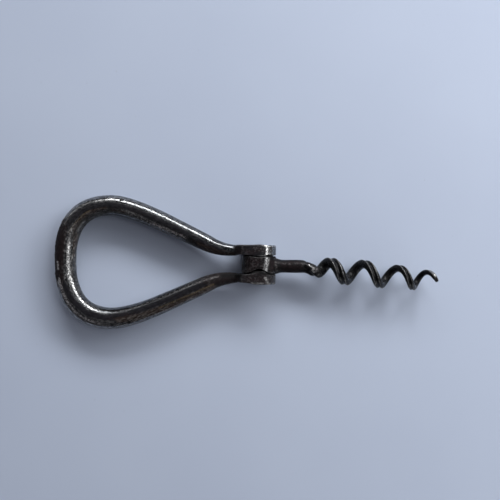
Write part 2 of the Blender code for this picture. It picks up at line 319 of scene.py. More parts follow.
def bezier(a, b, c, d, steps):
    t = np.linspace(0, 1, steps, endpoint=False)[:, None]
    return a * (1 - t) ** 3 + 3 * b * t * (1 - t) ** 2 + 3 * c * t * t * (1 - t) + d * t**3


def cardinal(values, steps):
    """Cardinal interpolation through values, as the bar's diameters have in the part."""
    tension = 0.71
    t = np.linspace(0, 1, steps, endpoint=False)
    padded = [values[0], *values, values[-1]]
    weights = (
        -tension * t**3 + 2 * tension * t**2 - tension * t,
        (2 - tension) * t**3 + (tension - 3) * t**2 + 1,
        (tension - 2) * t**3 + (3 - 2 * tension) * t**2 + tension * t,
        tension * t**3 - tension * t**2,
    )
    parts = [sum(w * padded[i + k] for k, w in enumerate(weights)) for i in range(len(values) - 1)]
    return np.append(np.concatenate(parts), values[-1])


def bow_stations():
    """The bow from one lug to the other: place, handle before, handle after and bar diameter."""
    arm = np.array((-math.cos(ARM_ANGLE), math.sin(ARM_ANGLE)))
    bend = np.array((NECK_CORNER, NECK_Y)) + arm * NECK_BEND
    run = (WIDEST[0] - bend[0]) / arm[0]
    neck_end = np.array((NECK_BEND + NECK_CORNER, NECK_Y))
    back = np.array((-1.0, 0.0))
    across = np.array((0.0, -1.0))
    crown_handle = BOW_HALF_WIDTH * CROWN_HANDLE_SHARE
    arm_handle = run * ARM_HANDLE_SHARE
    bend_handle = NECK_BEND * BEND_HANDLE_SHARE
    lug_handle = (BAR_END - neck_end[0]) / 2
    rows = [
        (np.array((CROWN_X, 0)), across, crown_handle, crown_handle, CROWN_BAR),
        (WIDEST, back, CROWN_DEPTH * SHOULDER_HANDLE_SHARE, run * SHOULDER_RUN_SHARE, SHOULDER_BAR),
        (bend + arm * run * ARM_PLACE_SHARE, arm, arm_handle, arm_handle, ARM_BAR),
        (bend, arm, bend_handle, bend_handle, BEND_BAR),
        (neck_end, back, bend_handle, lug_handle, NECK_BAR),
        (np.array((BAR_END, NECK_Y)), back, lug_handle, lug_handle, NECK_BAR),
    ]
    half = [(at, at + way * crown, at - way * lug, bar) for at, way, crown, lug, bar in rows]
    flip = np.array((1, -1))
    other = [(at * flip, lug * flip, crown * flip, bar) for at, crown, lug, bar in half[1:]]
    return other[::-1] + half


def bow_line():
    """The bar's middle line: points, ways along it, sides, radii and distance from the crown."""

    def lift(point):
        drop = CROWN_DROP * max(0, (NECK_CORNER - point[0]) / (NECK_CORNER - CROWN_X))
        return np.array((point[0], point[1], PIVOT[2] - drop))

    stations = [(lift(at), lift(before), lift(after), bar) for at, before, after, bar in bow_stations()]
    parts = [bezier(a[0], a[2], b[1], b[0], CURVE_STEPS) for a, b in zip(stations, stations[1:])]
    points = np.vstack([*parts, stations[-1][0]])
    radii = cardinal([s[3] / 2 for s in stations], CURVE_STEPS)
    along = length_along(points)
    count = int(along[-1] / BAR_STEP)
    even = np.linspace(0, along[-1], count)
    points = np.stack([np.interp(even, along, points[:, k]) for k in range(3)], 1)
    radii = np.interp(even, along, radii)
    ways = unit(np.gradient(points, axis=0))
    sides = unit(np.cross(ways, UP))
    return points, ways, sides, radii, even - along[-1] / 2


def rings_round(points, ways, sides, radii, count):
    """Round sections of a bar that starts and ends square."""
    turns = np.linspace(0, 2 * math.pi, count, endpoint=False)
    ups = np.cross(sides, ways)
    out = np.cos(turns)[None, :, None] * sides[:, None, :] + np.sin(turns)[None, :, None] * ups[:, None, :]
    return points[:, None, :] + out * radii[:, None, None]


def lug_outline():
    """Closed (x, z) outline of a lug, evenly spaced."""
    half = LUG_HALF_HEIGHT
    turns = np.linspace(-math.pi / 2, math.pi / 2, OUTLINE_STEPS)
    front = np.stack([LUG_REACH - half + half * np.cos(turns), half * np.sin(turns)], 1)
    t = np.linspace(0, 1, TAIL_STEPS)[:, None]
    tail_x = -LUG_SHOULDER_REACH - (LUG_TAIL_REACH - LUG_SHOULDER_REACH) * t
    shoulder = np.hstack([tail_x, half + (LUG_TAIL_HALF - half) * eased(t)])
    return even_outline(np.vstack([front, shoulder, shoulder[::-1] * (1, -1)]), LUG_SIDES)


def block_outline():
    """Closed (x, z) outline of the block, flat above and below and round at both ends."""
    half = LUG_HALF_HEIGHT
    side = BLOCK_REACH - half
    turns = np.linspace(-math.pi / 2, math.pi / 2, OUTLINE_STEPS)
    front = np.stack([side + half * np.cos(turns), half * np.sin(turns)], 1)
    return even_outline(np.vstack([front, -front]), BLOCK_SIDES)


def even_outline(points, count):
    """Evenly spaced points on a closed outline, with its corners eased."""
    closed = np.vstack([points, points[:1]])
    along = length_along(closed)
    even = np.linspace(0, along[-1], count, endpoint=False)
    outline = np.stack([np.interp(even, along, closed[:, k]) for k in range(2)], 1)
    for _ in range(3):
        outline = (np.roll(outline, 1, 0) + 2 * outline + np.roll(outline, -1, 0)) / 4
    return outline


def boss_rise(reach, boss):
    """How far a boss or dish stands from its lug's or block's side, at a distance from the pivot."""
    base, slope, height = boss
    return np.clip((base - reach) * slope, 0, height)


def edge_drop(place, reach, fillet):
    """How far a rounded edge has dropped at a place, where the edge is at reach."""
    past = np.clip(place - (reach - fillet), 0, fillet)
    return fillet - np.sqrt(np.maximum(fillet**2 - past**2, 0))


def disc_rows(outline, profile):
    """Rows of points round a plate with a hole, where profile gives each row's reach and y."""
    reach = np.linalg.norm(outline, axis=1)
    way = outline / reach[:, None]
    rows = []
    for place, height in profile(reach):
        place = np.broadcast_to(place, reach.shape)
        height = np.broadcast_to(height, reach.shape)
        rows.append(np.stack([way[:, 0] * place, height, way[:, 1] * place + PIVOT[2]], 1))
    return rows


def lug(side):
    """The lug on the +Y or the -Y side, with its bevelled rim, its boss and its countersunk hole."""
    boss = BOSSES[side]
    fillet = LUG_FILLET
    inner = LUG_INNER_FILLET
    head = RIVET_HEAD_RADIUS + RIVET_SEAM
    hole = RIVET_RADIUS + RIVET_SEAM

    def profile(reach):
        rim = LUG_OUTER - fillet
        rows = [(head + (reach - fillet - head) * u, LUG_OUTER) for u in np.linspace(0, 1, LUG_FACE_STEPS)]
        for a in np.linspace(0, math.pi / 2, LUG_FILLET_STEPS)[1:]:
            rows.append((reach - fillet + fillet * math.sin(a), rim + fillet * math.cos(a)))
        low = LUG_INNER - boss_rise(reach, boss) + inner
        rows += [(reach, rim + (low - rim) * u) for u in np.linspace(0, 1, LUG_FACE_STEPS)[1:]]
        for u in np.linspace(1, 0, LUG_INNER_STEPS)[1:]:
            place = hole + (reach - hole) * u
            rows.append((place, LUG_INNER - boss_rise(place, boss) + edge_drop(place, reach, inner)))
        floor = LUG_INNER - boss[2]
        sink = LUG_OUTER - RIVET_SINK_DEPTH
        rows += [(hole, floor + (sink - floor) * u) for u in np.linspace(0, 1, HOLE_STEPS)[1:]]
        rows += [(hole + (head - hole) * u, sink + RIVET_SINK_DEPTH * u) for u in (0.33, 0.67)]
        return rows

    rows = np.asarray(disc_rows(lug_outline(), profile))
    rows[..., 1] *= side
    return outward(grid_mesh("lug", rows, wrap_rows=True))


def block():
    """The hinge block: a round-ended plate with an eye, dished on both sides round the lugs' bosses."""

    def face(reach, side):
        rows = []
        for u in np.linspace(0, 1, BLOCK_FACE_STEPS):
            place = EYE_RADIUS + (reach - EYE_RADIUS) * u
            depth = boss_rise(place, DISHES[side]) + edge_drop(place, reach, BLOCK_FILLET)
            rows.append((place, side * (BLOCK_HALF_WIDTH - depth)))
        return rows

    def profile(reach):
        upper = face(reach, 1)
        lower = face(reach, -1)[::-1]
        high, low = upper[-1][1], lower[0][1]
        top, bottom = upper[0][1], lower[-1][1]
        wall = [(reach, high + (low - high) * u) for u in np.linspace(0, 1, BLOCK_WALL_STEPS)[1:-1]]
        eye = [(EYE_RADIUS, bottom + (top - bottom) * u) for u in np.linspace(0, 1, HOLE_STEPS)[1:-1]]
        return upper + wall + lower + eye

    return outward(grid_mesh("block", disc_rows(block_outline(), profile), wrap_rows=True))


def ring(along, radius, turns, middle, axis):
    """A ring of points round a line that runs along X (axis 0) or Y (axis 1)."""
    points = np.tile(np.asarray(middle, float), (len(turns), 1))
    points[:, axis] = along
    points[:, 1 - axis] += radius * np.cos(turns)
    points[:, 2] += radius * np.sin(turns)
    return points


def shank():
    """Straight shank from inside the block to the root of the worm."""
    xs = np.linspace(SHANK_PROFILE[0][0], SHANK_PROFILE[-1][0], SHANK_RINGS)
    radii = np.interp(xs, *zip(*SHANK_PROFILE))
    turns = np.linspace(0, 2 * math.pi, SHANK_SIDES, endpoint=False)
    middle = (0, SHANK_Y, PIVOT[2])
    rows = [ring(x, radius, turns, middle, 0) for x, radius in zip(xs, radii)]
    return outward(grid_mesh("shank", rows, caps=True))


def worm_line():
    """The wire's middle line from root to tip: points, ways, sides that face out, radii, turns."""
    ahead = np.array((math.cos(WORM_LEAN), -math.sin(WORM_LEAN), 0))
    side = np.array((math.sin(WORM_LEAN), math.cos(WORM_LEAN), 0))
    start = PIVOT + WORM_START
    count = WORM_TURNS * WIRE_RINGS_PER_TURN
    step = WORM_TURNS / count
    advance = WORM_ROOT_ADVANCE
    points, outs = [], []
    for i in range(count + 1):
        turn = i * step
        phase = math.pi / 2 + 2 * math.pi * turn
        out = side * math.cos(phase) + UP * math.sin(phase)
        coil = COIL_RADIUS * smooth_share(turn, COIL_SHARES)
        points.append(start + ahead * advance + out * coil)
        outs.append(out)
        advance += PITCH * smooth_share(turn + step / 2, PITCH_SHARES) * step
    points, outs = np.array(points), np.array(outs)
    turns = np.linspace(0, WORM_TURNS, count + 1)
    radii = np.array([WIRE_RADIUS * smooth_share(t, WIRE_SHARES) for t in turns])
    ways = unit(np.gradient(points, axis=0))
    outs = unit(outs - ways * np.sum(outs * ways, axis=1)[:, None])
    return points, ways, outs, radii, turns


def wire():
    """The worm's tapering wire, with the groove along its outside."""
    points, ways, outs, radii, turns = worm_line()
    across = np.cross(ways, outs)
    angles = np.linspace(-math.pi, math.pi, WIRE_SIDES, endpoint=False)
    # more of the points lie in and beside the groove
    angles = angles - GROOVE_CROWDING * np.sin(angles)
    dip = np.cos(math.pi / 2 * np.clip(np.abs(angles) / GROOVE_HALF_ANGLE, 0, 1)) ** GROOVE_SHARPNESS
    rows = []
    for i, turn in enumerate(turns):
        reach = radii[i] * (1 - smooth_share(turn, GROOVE_SHARES) * dip)
        out = outs[i] * (reach * np.cos(angles))[:, None]
        rows.append(points[i] + out + across[i] * (reach * np.sin(angles))[:, None])
    return outward(grid_mesh("wire", rows, caps=True))


def rivet():
    """The pin with both peened heads, as one turned form."""
    head = RIVET_HEAD_RADIUS
    angles = np.linspace(math.pi / 2, 0, DOME_STEPS)[:-1]
    profile = [(head * math.cos(a), LUG_OUTER + RIVET_DOME * math.sin(a)) for a in angles]
    profile += [(head, LUG_OUTER), (RIVET_RADIUS, LUG_OUTER - RIVET_SINK_DEPTH)]
    profile = profile + [(radius, -y) for radius, y in reversed(profile)]
    turns = np.linspace(0, 2 * math.pi, RIVET_SIDES, endpoint=False)
    rows = [ring(y, radius, turns, PIVOT, 1) for radius, y in profile[1:-1]]
    return outward(grid_mesh("hinge_rivet_fine", rows, caps=True))


# Wear


def field(points, scale, seed):
    """Smooth noise from about -1 to 1 at points, with features about scale long."""
    shift = Vector((seed * 7.31, seed * 3.77, seed * 5.13))
    return np.array([noise.noise(Vector(p) / scale + shift) for p in points])


def nearest_on(line, points):
    """For each point, the nearest sample of a line."""
    tree = kdtree.KDTree(len(line))
    for i, p in enumerate(line):
        tree.insert(p, i)
    tree.balance()
    return np.array([tree.find(p)[1] for p in points])


def grain_of(points, line, ways, sides, along):
    """Coordinates that run along a bar: distance along it, then sideways and up from its middle."""
    near = nearest_on(line, points)
    off = points - line[near]
    ups = np.cross(sides, ways)
    ahead = np.sum(off * ways[near], axis=1)
    across = np.sum(off * sides[near], axis=1)
    up = np.sum(off * ups[near], axis=1)
    return np.stack([along[near] + ahead, across, up], 1)


def add_attribute(obj, name, kind, key, values):
    attribute = obj.data.attributes.new(name, kind, "POINT")
    attribute.data.foreach_set(key, values.astype(np.float32).ravel())


def edge_wear(obj):
    """How much each point stands proud of its surroundings, which is where steel is rubbed bright."""
    points = read_points(obj)
    pairs = edges_of(obj)
    mean = points
    for _ in range(PROUD_ROUNDS):
        mean = neighbour_mean(mean, pairs)
    proud = np.sum((points - mean) * normals_of(obj), axis=1)
    return np.clip(proud / FULLY_PROUD, -1, 1)


def write_wear(obj, points, grain, state, shine, tint):
    """Moves the mesh to points and tells its material how worn each is. State is how dull, rusty and
    pitted the steel is, shine how rubbed, or below zero how blackened by soot and by painted shade at the
    hinge's seams, and tint how scuffed, brown and varnished."""
    write_points(obj, points)
    flat = np.zeros(len(points))
    for name, values in (("wear", edge_wear(obj)), ("shine", shine + flat)):
        add_attribute(obj, name, "FLOAT", "value", values)
    for name, parts in (("state", state), ("tint", tint), ("grain", grain.T)):
        add_attribute(obj, name, "FLOAT_VECTOR", "vector", np.stack([part + flat for part in parts], 1))


def forged(points, grain, seed, layers):
    """The unevenness of hammered steel: layers of (feature size, depth), the third drawn out lengthwise."""
    rough = np.zeros(len(points))
    for i, (size, depth) in enumerate(layers):
        rough += field(grain * GRAIN_STRETCH if i == 2 else points, size, seed + i) * depth
    return rough


def kept_in_box(points):
    """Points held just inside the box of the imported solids."""
    low = np.array(cad_low) / MM + LOW_MARGIN
    high = np.array(cad_high) / MM - HIGH_MARGIN
    return np.clip(points, low, high)


def dent(points, normals, centre, reach, depth):
    """Pushes the surface in, or out where depth is below zero, round a point."""
    away = np.linalg.norm(points - centre, axis=1) / reach
    push = np.exp(-(away**2) * 2) * (away < 2.2)
    return points - normals * (push * depth)[:, None]


def patch(points, zones):
    """Strength at each point of a list of soft patches: x, y, half length, half width, turn, strength."""
    total = np.zeros(len(points))
    for x, y, long, wide, turn, strength in zones:
        a = math.radians(turn)
        off = points[:, :2] - (x, y)
        ahead = (off[:, 0] * math.cos(a) + off[:, 1] * math.sin(a)) / long
        aside = (off[:, 1] * math.cos(a) - off[:, 0] * math.sin(a)) / wide
        total = np.maximum(total, strength * np.exp(-((ahead**2 + aside**2) ** 2) * 0.7))
    return total


def near_line(points, line, reach, softness):
    """1 at a line seen from above, fading to 0 at reach from it over softness as a share of reach."""
    line = np.asarray(line, float)
    steps = [a + (b - a) * t for a, b in zip(line, line[1:]) for t in np.linspace(0, 1, LINE_STEPS)]
    away = np.full(len(points), np.inf)
    for step in steps:
        away = np.minimum(away, np.linalg.norm(points[:, :2] - step, axis=1))
    return np.clip((1 - away / reach) / softness, 0, 1)


def near_lines(points, lines, above):
    """The strongest of several lines where the mesh is above a height, and 0 under it."""
    total = np.zeros(len(points))
    for line, reach, softness, strength in lines:
        total = np.maximum(total, strength * near_line(points, line, reach, softness))
    return total * (points[:, 2] > above)


def finish_piece(obj, body, node):
    obj.data.shade_smooth()
    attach(obj, body)
    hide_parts(node)
    return obj


# Where united forms flow together: the middle, the reach each way and the rounds of softening
LUG_JOINT = ((-7.6, 4.7, LUG_HALF_HEIGHT), (1.6, 3, 3.2), 12)
BLOCK_JOINT = ((6.2, SHANK_Y, LUG_HALF_HEIGHT), (1.5, 3.4, 3.4), 10)
ROOT_JOINT = ((15.9, -0.6, LUG_HALF_HEIGHT + 0.4), (2.2, 3, 3), 14)

# Hammering as (feature size, depth), and how far in the worn skin lies on average
BOW_HAMMERING = ((9, 0.055), (3.1, 0.022), (1.3, 0.014))
WORM_HAMMERING = ((6, 0.035), (2.2, 0.018), (1.0, 0.012))
RIVET_HAMMERING = ((2.4, 0.03), (0.9, 0.015))
GRAIN_STRETCH = (0.22, 1, 1)
BOW_SKIN = 0.03
WORM_SKIN = 0.02
PITTING_DEPTH = 0.03
SEAM_HEIGHT = 0.03
SEAM_ROUGHNESS = 0.07
RUST_ROUGHNESS = 0.07
RUST_PIT_DEPTH = 0.16
CORNER_PUSH = 0.5
# A point this far proud of its surroundings, evened out over so many rounds, is fully rubbed
FULLY_PROUD = 0.06
PROUD_ROUNDS = 6
# The wear of the block ends here along X, and the shank's own grain runs between these two places
BLOCK_END = 6
SHANK_SPAN = (-6, 14.5)
SHANK_STEPS = 60

# Dents and bumps, each a centre, a reach and a depth that is below zero for a bump: the burr on the
# crown's outside, the nick on both sides of it and a pit in each arm, then the pit at the worm's root
BOW_DENTS = (
    ((-67.8, -4.3, 4.6), 1.5, -0.22),
    ((-67.9, -3.0, 4.9), 0.8, 0.30),
    ((-66.6, -5.8, 5.6), 0.8, 0.22),
    ((-45.6, 20.7, 6.4), 0.5, 0.16),
    ((-42.6, -19.6, 6.2), 0.7, 0.16),
)
WORM_DENT = ((15.2, -0.75, 6.7), 0.75, 0.34)

# Soft patches seen from above: x, y, half length, half width, turn in degrees, strength
CROWN_RUST = ((-66.2, 5.5, 12, 4.4, 97, 1.0), (-66.4, -4.6, 4.0, 3.2, 90, 0.95))
BOW_RUST = CROWN_RUST + (
    (-57.5, 14.5, 7.0, 1.8, 48, 0.5),
    (-43.0, 17.2, 10.0, 1.5, -12, 0.5),
    (-44.0, -18.2, 9.0, 2.2, 12, 0.6),
    (-27.0, -12.4, 10.0, 1.5, 25, 0.6),
    (-17.0, 5.2, 8.0, 1.5, -23, 0.7),
    (-12.0, -4.9, 7.0, 2.6, 8, 0.95),
    (-6.6, 4.6, 1.6, 2.4, 0, 0.85),
    (-2.0, 4.9, 4.2, 2.2, 0, 0.7),
    (-1.0, -4.7, 5.5, 2.2, 0, 0.8),
)
BOW_DULL = (
    (-1.8, 6.4, 4.0, 1.3, 0, 1.0),
    (-6.8, 4.6, 2.0, 2.6, 0, 0.9),
    (-61.5, 9, 12, 5.0, 75, 0.5),
    (-62.0, -4, 9, 4.0, 100, 0.4),
    (-29, -12.2, 17, 1.5, 24, 0.8),
    (-18, 5.4, 8, 1.6, -23, 0.8),
    (-14, -5.4, 8.5, 3.4, 12, 0.9),
    (-1.5, -4.8, 7.0, 3.0, 0, 0.95),
    (-2.6, 4.8, 4.6, 3.0, 0, 1.0),
)
BOW_PITTED = (
    (-62.0, 1.5, 15, 2.4, 92, 1.0),
    (-57.0, -12.5, 7, 2.6, 128, 0.8),
    (-31.0, 11.2, 13, 1.6, 155, 1.0),
    (-30.0, -13.5, 24, 2.6, 25, 0.6),
    (-11.0, -5.0, 10, 3.0, 0, 0.9),
    (0.0, -4.8, 6.5, 2.6, 0, 0.9),
    (2.6, 4.8, 3.4, 2.6, 0, 0.5),
)
WORM_RUST = ((4.4, 0, 2.6, 2.6, 0, 0.75), (-2, 0, 4.6, 4, 0, 0.7), (10.5, -0.4, 5, 2.6, 0, 0.8))

# Lines seen from above: points, reach, softness of the edge, strength. The bow's show above
# BOW_LINE_HEIGHT, the worm's above the pivot. Black ones keep their oxide, bright ones are rubbed, the
# seam is a rough one along the upper arm, the soot ones blacken pits, chips and dirt and paint shade
# along the gaps between the lugs and the block, and the others are what handling has left.
BOW_LINE_HEIGHT = 3.8
LINE_STEPS = 16
CROWN_RUB = ((-66.5, -0.2), (-66.3, -2.5))
NICK_RUB = ((-65.9, -5.8), (-65.5, -7.4), (-64.7, -9.4))
BOW_BLACK = (
    (((-63.7, 11.0), (-62.1, 14.0), (-59.2, 16.7), (-54.3, 18.6), (-49.3, 19.0), (-44.4, 18.1),
      (-36.1, 15.3), (-26.2, 10.7), (-17.9, 6.3), (-12.3, 3.8)), 1.8, 0.6, 0.82),
    (((-64.0, -7.8), (-61.3, -12.9), (-56.6, -16.8), (-50.4, -18.4), (-43.8, -17.3), (-35.6, -14.3),
      (-25.8, -10.1), (-17.7, -6.5)), 1.5, 0.6, 0.95),
)
BOW_BRIGHT = (
    (CROWN_RUB, 0.4, 0.7, 1.0),
    (NICK_RUB, 0.45, 0.7, 0.9),
    (((2.6, 3.1), (2.65, 5.6), (2.2, 6.3)), 0.6, 0.5, 1.0),
    (((1.2, 6.35), (2.2, 6.3)), 0.35, 0.8, 0.8),
    (((4.0, 3.6), (4.2, 5.4)), 1.3, 0.9, 0.32),
    (((2.1, -4.3), (2.6, -4.9)), 0.6, 0.9, 0.5),
    (((2.8, -5.6), (2.9, -6.1)), 0.5, 0.9, 0.35),
    (((-2.4, -6.0), (1.4, -6.2)), 0.45, 0.8, 0.45),
    (((-61.9, 10.5), (-62.7, 7), (-63, 4), (-63.1, 1), (-63, -1.5), (-62.7, -4.5), (-61.7, -7.3)),
     0.65, 0.5, 0.7),
    (((-61.6, -7.6), (-60.0, -11.0), (-58.7, -12.6), (-57.0, -14.2), (-54.7, -15.6)), 0.5, 0.8, 0.4),
    (((-54.0, 20.1), (-52.65, 20.4), (-49.0, 20.7)), 0.5, 0.8, 0.9),
    (((-60.8, 18.0), (-57.9, 19.2), (-55.3, 19.9)), 0.35, 0.8, 0.2),
    (((-60.2, 13.2), (-61.9, 10.5)), 0.5, 0.8, 0.2),
    (((-66.3, -6.7), (-64.6, -10.7), (-63.2, -13.2), (-60.1, -16.6), (-57.1, -18.6), (-53.7, -20)),
     0.5, 0.8, 0.8),
    (((-45.4, 17.3), (-40.9, 15.9), (-36.6, 13.9), (-34.1, 12.6), (-30.7, 11.3), (-27.3, 9.7)),
     0.55, 0.8, 0.3),
    (((-37.6, -13.7), (-27.2, -9.4), (-24, -8), (-15.9, -4.7), (-11.8, -3.8)), 0.4, 0.9, 0.14),
)
# The first and the last of these lines are painted shade along the gaps of the lower and the upper lug beside
# the block; the rest are soot and dirt in pits, chips and on the neck and crown
BOW_SOOT_AND_SHADE = (
    (((-5.4, -2.9), (-2.3, -2.5), (-0.3, -2.0), (2.0, -2.9), (5.3, -3.15)), 0.62, 0.7, 1.0),
    (((-12.0, -3.8), (-8.2, -3.6), (-5.9, -3.5)), 1.5, 1.0, 0.85),
    (((-61.9, 7.5), (-61.2, 9.6), (-60.0, 11.8), (-58.7, 13.6), (-56.5, 15.0), (-49.0, 17.0)),
     1.2, 0.9, 0.52),
    (((-59.9, 8.2), (-59.2, 9.8), (-58.3, 11.5), (-57.2, 13.0), (-55.6, 14.3)), 0.9, 0.9, 0.5),
    (((-52.3, -16.4), (-50.4, -16.8), (-48.4, -16.8)), 0.9, 0.9, 0.32),
    (((-45.95, 20.6), (-45.85, 20.6)), 0.52, 0.45, 1.0),
    (((-42.6, -19.7), (-42.4, -19.7)), 0.6, 0.5, 1.0),
    (((-31.8, 15.0), (-31.2, 14.8)), 0.3, 0.7, 0.8),
    (((-6.9, 2.6), (-6.9, 6.6)), 0.9, 0.8, 0.1),
    (((2.6, 3.0), (5.6, 3.0)), 0.45, 0.6, 0.9),
)
BOW_SEAM = (
    (((-43.9, 16.7), (-42.7, 16.1), (-39.4, 14.7), (-36.1, 13.3)), 0.75, 0.8, 0.5),
    (((-36.1, 13.3), (-32.8, 11.9), (-29.5, 10.4), (-24.5, 8.6)), 0.8, 0.8, 1.0),
    (((-36.1, 11.8), (-31.8, 10.2), (-26.8, 8.2)), 0.3, 0.8, 0.7),
)
BOW_SCUFFED = BOW_SEAM + (
    (CROWN_RUB, 0.4, 0.7, 1.0),
    (NICK_RUB, 0.5, 0.7, 1.0),
    (((-48.1, -16.7), (-42.2, -15.4), (-37.6, -13.5), (-32.4, -11.2), (-25.9, -8.6), (-19.3, -6.0),
      (-12.1, -3.8)), 0.42, 0.9, 0.38),
    (((-64.8, -9.5), (-63.5, -12.7), (-61.2, -15.8), (-58.0, -18.3), (-54.6, -19.6), (-52.0, -20.3)),
     0.6, 0.7, 1.0),
    (((-62.9, 7.8), (-61.7, 11.7), (-59.1, 14.5), (-55.9, 16.8), (-52.6, 17.6)), 0.42, 0.8, 0.25),
    (((-1.6, 5.3), (1.2, 5.2), (1.4, 4.6)), 1.5, 1.0, 0.24),
    (((-5.2, 4.4), (-3.4, 3.9)), 1.2, 1.0, 0.12),
    (((-5.0, -4.8), (3.5, -5.0)), 2.2, 0.9, 0.15),
    (((-0.5, -4.6), (1.8, -5.2)), 1.3, 1.0, 0.24),
)
BOW_BROWN = (
    (((-46.1, -19.0), (-40.5, -18.3), (-35.6, -16.5), (-30.7, -14.8), (-25.8, -12.5), (-19.3, -9.4),
      (-15, -7.4)), 1.5, 0.7, 0.85),
    (((-61.2, 2.2), (-61.3, 7.1), (-60.9, 11.1), (-58.9, 14.5), (-56.5, 16.2), (-51.0, 17.5)), 1.3, 0.7, 0.6),
    (((-51.0, 17.5), (-44.4, 16.7)), 1.2, 0.8, 0.5),
    (((-20.0, 6.3), (-14.0, 4.1), (-8.6, 3.6)), 1.4, 0.8, 0.62),
    (((-1.2, 5.2), (0.6, 5.0)), 1.6, 1.0, 0.4),
    (((-7.2, 5.4), (-6.2, 4.2)), 1.2, 1.0, 0.35),
)
BOW_VARNISH = (
    (((-32.6, -14.7), (-22.5, -10.3), (-14.8, -6.7)), 0.3, 1.0, 1.0),
    (((-62.8, 9.3), (-61.9, 11.2), (-60.6, 13.1), (-59.3, 14.5), (-57.7, 15.9), (-56.0, 16.9)),
     0.25, 1.0, 0.7),
    (((-64.9, -9.7), (-63.6, -12.9), (-61.3, -16.0), (-58.1, -18.5), (-54.8, -19.8)), 0.3, 1.0, 0.3),
)
WORM_BRIGHT = (
    (((16.4, 0.2), (17.2, -0.35), (18.3, -1.0)), 0.22, 0.8, 1.0),
    (((18.1, -1.0), (17.6, -1.6), (18.3, -2.3)), 0.28, 0.6, 0.9),
)
# The first line blackens the pit at the worm's root; the second is painted shade on the block's side in its
# gap beside the upper lug
WORM_SOOT_AND_SHADE = (
    (((14.6, -0.9), (15.7, -0.7)), 0.8, 0.6, 1.0),
    (((2.6, 2.75), (5.8, 2.6)), 0.45, 0.6, 1.0),
)
WORM_SCUFFED = (
    (((17.8, -1.5), (19.0, -1.4)), 1.0, 0.6, 0.35),
    (((7.9, 0.6), (14.6, 0.45)), 0.5, 0.9, 0.3),
)


def rough_bow(points, grain):
    """How far the bow's surface stands out of its skin: hammer marks, pits, the rough seam, and rust that
    has eaten the crown's outside."""
    rough = forged(points, grain, 1, BOW_HAMMERING)
    rough += patch(points, BOW_PITTED) * field(points, 0.75, 4) * PITTING_DEPTH
    seam = near_lines(points, BOW_SEAM, PIVOT[2])
    rough += seam * (SEAM_HEIGHT + field(points, 0.55, 11) * SEAM_ROUGHNESS)
    eaten = patch(points, CROWN_RUST)
    rough += eaten * (field(points, 0.9, 13) - 0.2) * RUST_ROUGHNESS
    eaten *= fade(-grain[:, 1], 0, 1.5) * fade(field(points, 0.8, 14), 0, 0.625)
    return rough - eaten * RUST_PIT_DEPTH


def hammered_bow(points, grain):
    """Moves the crown's sides out and in, and the lower lug's outer corner, beside the neck, in."""
    away = points[:, :2] - CROWN_MIDDLE
    turn = np.degrees(np.arctan2(away[:, 1], away[:, 0])) % 360
    away = unit(away)
    outer_share = fade(-grain[:, 1], -3, 3)
    for middle, half, inner, outer in CROWN_PUSHES:
        push = eased(np.clip(1 - np.abs(turn - middle) / half, 0, 1))
        points[:, :2] += away * (push * (inner + (outer - inner) * outer_share))[:, None]
    push = eased(fade(-points[:, 0], 0.6, 4.8) * fade(-points[:, 1], 5.0, 6.2))
    points[:, 1] += push * CORNER_PUSH * fade(points[:, 0], -8.4, -6.8)
    return points


def make_bow():
    line, ways, sides, radii, along = bow_line()
    bar = outward(grid_mesh("bar", rings_round(line, ways, sides, radii, BAR_SIDES), caps=True))
    bow = united("bow_fine", [bar, lug(1), lug(-1)])
    middle, reach, rounds = LUG_JOINT
    for side in (1, -1):
        melt(bow, np.array(middle) * (1, side, 1), reach, rounds)
    points = read_points(bow)
    grain = grain_of(points, line, ways, sides, along)
    normals = normals_of(bow)
    points = points - normals * (BOW_SKIN - rough_bow(points, grain))[:, None]
    points = hammered_bow(points, grain)
    for centre, reach, depth in BOW_DENTS:
        points = dent(points, normals, centre, reach, depth)
    points = kept_in_box(points)
    # the crown's rust is on its outer half only
    inner = fade(grain[:, 1], 0.12, 1.32) * fade(-points[:, 0], 58, 62)
    rust = patch(points, BOW_RUST) * (1 - inner)
    # the soot lines blacken pits and dirt, and paint shade in the gaps between the lugs and the block
    black, soot_and_shade, bright, scuffed, brown, varnish = (
        near_lines(points, lines, BOW_LINE_HEIGHT)
        for lines in (BOW_BLACK, BOW_SOOT_AND_SHADE, BOW_BRIGHT, BOW_SCUFFED, BOW_BROWN, BOW_VARNISH)
    )
    dull = np.maximum(np.maximum(patch(points, BOW_DULL), rust), 1.1 * black)
    state = (dull, rust, patch(points, BOW_PITTED))
    write_wear(bow, points, grain, state, bright * (1 - soot_and_shade) - soot_and_shade, (scuffed, brown, varnish))
    return finish_piece(bow, "bow", "bow")


def worm_grain(points):
    """Coordinates along the shank and then the wire, and which turn of the wire each point is on."""
    line, ways, outs, _, turns = worm_line()
    length = length_along(line)
    xs = np.linspace(*SHANK_SPAN, SHANK_STEPS)
    shank_line = np.stack([xs, np.full_like(xs, SHANK_Y), np.full_like(xs, PIVOT[2])], 1)
    straight = np.broadcast_to(np.array((1.0, 0, 0)), shank_line.shape)
    upright = np.broadcast_to(UP, shank_line.shape)
    whole = np.vstack([shank_line, line])
    along = np.concatenate([xs - SHANK_END, length])
    grain = grain_of(points, whole, np.vstack([straight, ways]), np.vstack([upright, outs]), along)
    return grain, np.interp(grain[:, 0], length, turns)


